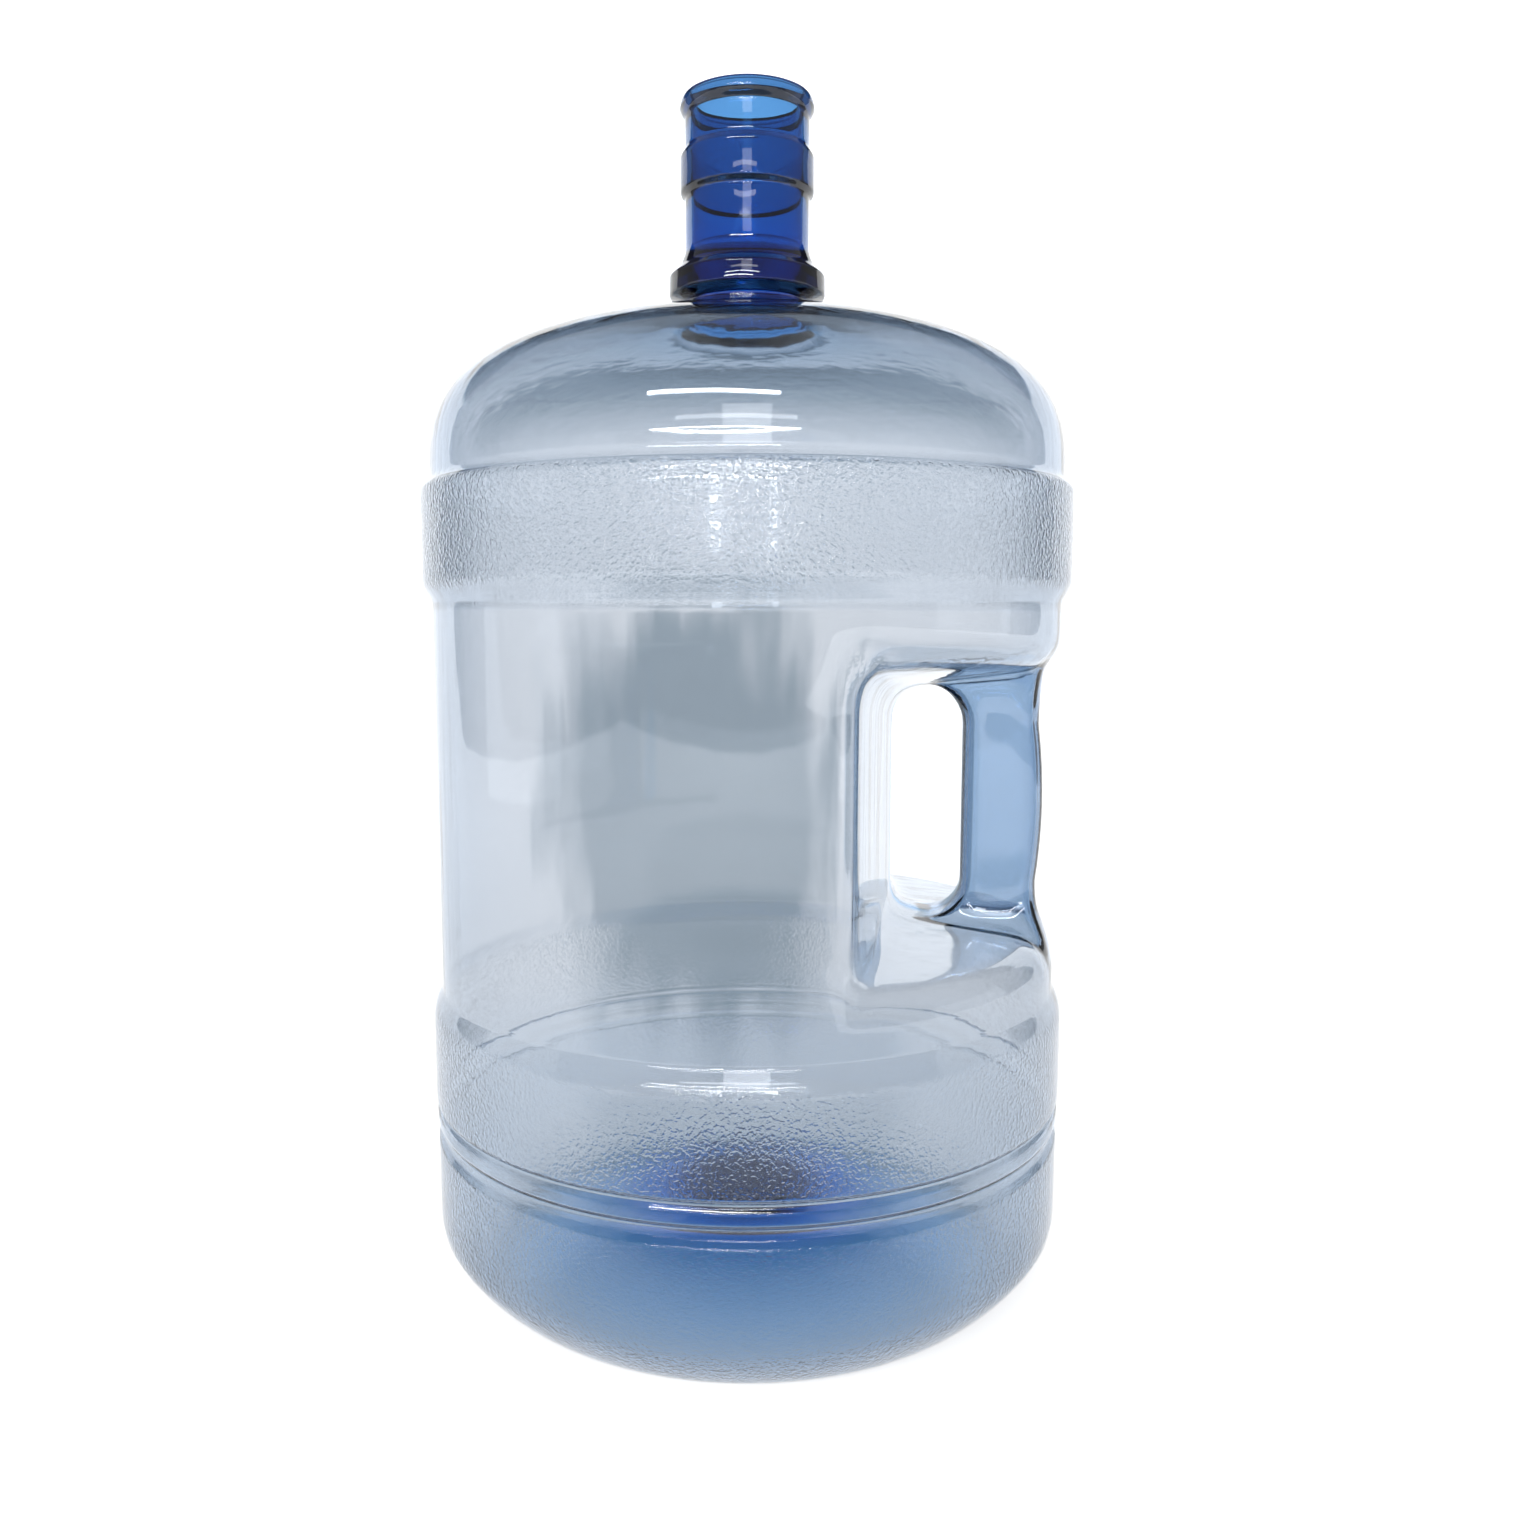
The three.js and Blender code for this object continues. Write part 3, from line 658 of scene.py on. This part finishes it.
sweep = bpy.data.objects.new("white_sweep", sweep_mesh)
bpy.context.scene.collection.objects.link(sweep)

# The paper carries painted shade, grey down to near black, in four fixed places, so that clear walls
# show against it as against a darker room: behind the barrel, behind the dome, on the table in front, and
# along the wall's top.
# The first two are set out once, by the slopes of lines drawn from the product camera's mark, so
# that each runs on from the table to the wall. They stay where they are under any other camera.
paper = bpy.data.materials.new("glowing_paper_with_painted_shade")
paper.use_nodes = True
paper_shader = paper.node_tree.nodes["Principled BSDF"]
paper_nodes, paper_links = paper.node_tree.nodes, paper.node_tree.links


def paper_math(operation, first, second):
    """One arithmetic step on the paper's material; either value may be a number or a socket."""
    node = paper_nodes.new("ShaderNodeMath")
    node.operation = operation
    for socket, value in zip(node.inputs, (first, second)):
        if isinstance(value, bpy.types.NodeSocket):
            paper_links.new(value, socket)
        else:
            socket.default_value = value
    return node.outputs["Value"]


def paper_ramp(value, start, full, easing):
    """0 at a value's start, 1 at its full amount and a ramp of the given easing between."""
    node = paper_nodes.new("ShaderNodeMapRange")
    node.interpolation_type = easing
    node.inputs["From Min"].default_value = start
    node.inputs["From Max"].default_value = full
    paper_links.new(value, node.inputs["Value"])
    return node.outputs["Result"]


def painted_shade_ellipse(across, up, centre, width, height, start, full, waver):
    """How much painted shade: 0 outside an ellipse and 1 well inside it; the waver moves its edge in and
    out.
    """
    x = paper_math("DIVIDE", paper_math("SUBTRACT", across, centre[0]), width)
    z = paper_math("DIVIDE", paper_math("SUBTRACT", up, centre[1]), height)
    squares = paper_math("ADD", paper_math("MULTIPLY", x, x), paper_math("MULTIPLY", z, z))
    radius = paper_math("ADD", paper_math("POWER", squares, 0.5), waver)
    return paper_ramp(radius, 1 - start, 1 - full, "SMOOTHSTEP")


paper_place = paper_nodes.new("ShaderNodeTexCoord")
paper_turn = paper_nodes.new("ShaderNodeMapping")
paper_turn.inputs["Rotation"].default_value = (0, 0, -CAMERA_TURN)
paper_links.new(paper_place.outputs["Object"], paper_turn.inputs["Vector"])
paper_parts = paper_nodes.new("ShaderNodeSeparateXYZ")
paper_links.new(paper_turn.outputs["Vector"], paper_parts.inputs["Vector"])
line_length = paper_math("MAXIMUM", paper_math("ADD", paper_parts.outputs["Y"], CAMERA_DISTANCE), 0.05)
line_rise = paper_math("SUBTRACT", paper_parts.outputs["Z"], CAMERA_HEIGHT)
slope_across = paper_math("DIVIDE", paper_parts.outputs["X"], line_length)
slope_up = paper_math("DIVIDE", line_rise, line_length)

streak_place = paper_nodes.new("ShaderNodeCombineXYZ")
paper_links.new(slope_across, streak_place.inputs["X"])
paper_links.new(paper_math("MULTIPLY", slope_up, 0.22), streak_place.inputs["Y"])
painted_shade_streaks = paper_nodes.new("ShaderNodeTexNoise")
painted_shade_streaks.inputs["Scale"].default_value = 24
painted_shade_streaks.inputs["Detail"].default_value = 2.5
paper_links.new(streak_place.outputs["Vector"], painted_shade_streaks.inputs["Vector"])
waver = paper_math("MULTIPLY", paper_math("SUBTRACT", painted_shade_streaks.outputs["Fac"], 0.52), 0.9)
# Painted shade behind the barrel and behind the dome, set out from the product camera's mark.
barrel_painted_shade = painted_shade_ellipse(slope_across, slope_up, (-0.035, -0.145), 0.195, 0.255, 0.18, 0.55, waver)
dome_painted_shade = painted_shade_ellipse(slope_across, slope_up, (0.0, 0.130), 0.252, 0.115, 0.01, 0.14, 0.0)
lift_to_sides = paper_math("MULTIPLY", paper_math("MULTIPLY", slope_across, slope_across), 0.7)
dome_fade = paper_ramp(paper_math("ADD", slope_up, lift_to_sides), 0.138, 0.205, "LINEAR")
dome_edge = paper_ramp(slope_up, 0.205, 0.238, "LINEAR")
dome_shade_depth = paper_math("MULTIPLY", dome_fade, 0.55)
dome_shade_depth = paper_math("ADD", dome_shade_depth, paper_math("MULTIPLY", dome_edge, 0.30))
dome_painted_shade = paper_math("MULTIPLY", dome_painted_shade, dome_shade_depth)
paper_x, paper_y = paper_parts.outputs["X"], paper_parts.outputs["Y"]
# Painted shade on the table in front of the jug, and near-black painted shade along the wall's top.
front_painted_shade = painted_shade_ellipse(paper_x, paper_y, (0, -0.62), 0.6, 0.44, 0.0, 0.22, 0.0)
high_painted_shade = paper_ramp(paper_parts.outputs["Z"], 1.31, 1.42, "SMOOTHSTEP")
painted_shades = paper_math("MAXIMUM", paper_math("MULTIPLY", barrel_painted_shade, 0.55), dome_painted_shade)
painted_shades = paper_math("MAXIMUM", painted_shades, paper_math("MULTIPLY", front_painted_shade, 0.72))
painted_shades = paper_math("MAXIMUM", painted_shades, high_painted_shade)
# The ramp turns the painted shade into paper colour: white where there is none, then grey, then near
# black.
paper_painted_shade_ramp = paper_nodes.new("ShaderNodeValToRGB")
paper_painted_shade_ramp.color_ramp.elements[0].color = (0.92, 0.92, 0.92, 1)
paper_painted_shade_ramp.color_ramp.elements[1].color = (0.02, 0.02, 0.025, 1)
paper_painted_shade_ramp.color_ramp.elements.new(0.55).color = (0.39, 0.45, 0.49, 1)
paper_links.new(painted_shades, paper_painted_shade_ramp.inputs["Fac"])
paper_links.new(paper_painted_shade_ramp.outputs["Color"], paper_shader.inputs["Base Color"])
# The paper glows as painted light: its emission keeps it white and lights the jug from below; the painted
# shade glows less.
paper_links.new(paper_painted_shade_ramp.outputs["Color"], paper_shader.inputs["Emission Color"])
paper_shader.inputs["Roughness"].default_value = 0.9
paper_shader.inputs["Emission Strength"].default_value = 0.7
sweep_mesh.materials.append(paper)


LAMP_AIM = 0.25


def panel(name, azimuth, elevation, distance, width, height, strength):
    """A rectangular lamp facing the jug's middle, placed by its direction from the camera's side."""
    data = bpy.data.lights.new(name, "AREA")
    data.shape = "RECTANGLE"
    data.size, data.size_y = width, height
    data.energy = strength * width * height * math.pi
    lamp = bpy.data.objects.new(name, data)
    bearing, rise = math.radians(azimuth) + CAMERA_TURN, math.radians(elevation)
    level_x, level_y = math.sin(bearing), -math.cos(bearing)
    away = np.array([level_x * math.cos(rise), level_y * math.cos(rise), math.sin(rise)])
    lamp.location = away * distance + np.array([0, 0, LAMP_AIM])
    lamp.rotation_euler = (math.pi / 2 - rise, 0, bearing)
    bpy.context.scene.collection.objects.link(lamp)


panel("high_lamp", -12, 33.5, 2.85, 2.0, 0.13, 30)
panel("low_lamp", -7, 13.5, 4.0, 3.6, 0.03, 40)
panel("far_lamp", -12, 9.5, 5.0, 3.8, 0.05, 40)
panel("far_ceiling", -4, 18.2, 4.5, 3.0, 0.15, 3.5)
panel("neck_softbox", 0, 19, 3.0, 0.8, 0.55, 2.4)
panel("left_window", -10, 6.0, 3.0, 0.20, 0.28, 10)
panel("right_window", 8, 6.0, 3.0, 0.12, 0.28, 8)
panel("left_wall", -82, -2, 1.6, 1.0, 0.8, 0.6)
panel("right_wall", 82, -2, 1.6, 1.0, 0.8, 0.6)

world = bpy.data.worlds.new("pale_room")
world.use_nodes = True
world.node_tree.nodes["Background"].inputs["Color"].default_value = (0.95, 0.97, 1, 1)
world.node_tree.nodes["Background"].inputs["Strength"].default_value = 0.36
bpy.context.scene.world = world
bpy.context.scene.view_settings.view_transform = "Standard"
bpy.context.scene.cycles.max_bounces = 24
bpy.context.scene.cycles.transmission_bounces = 24
bpy.context.scene.cycles.glossy_bounces = 8
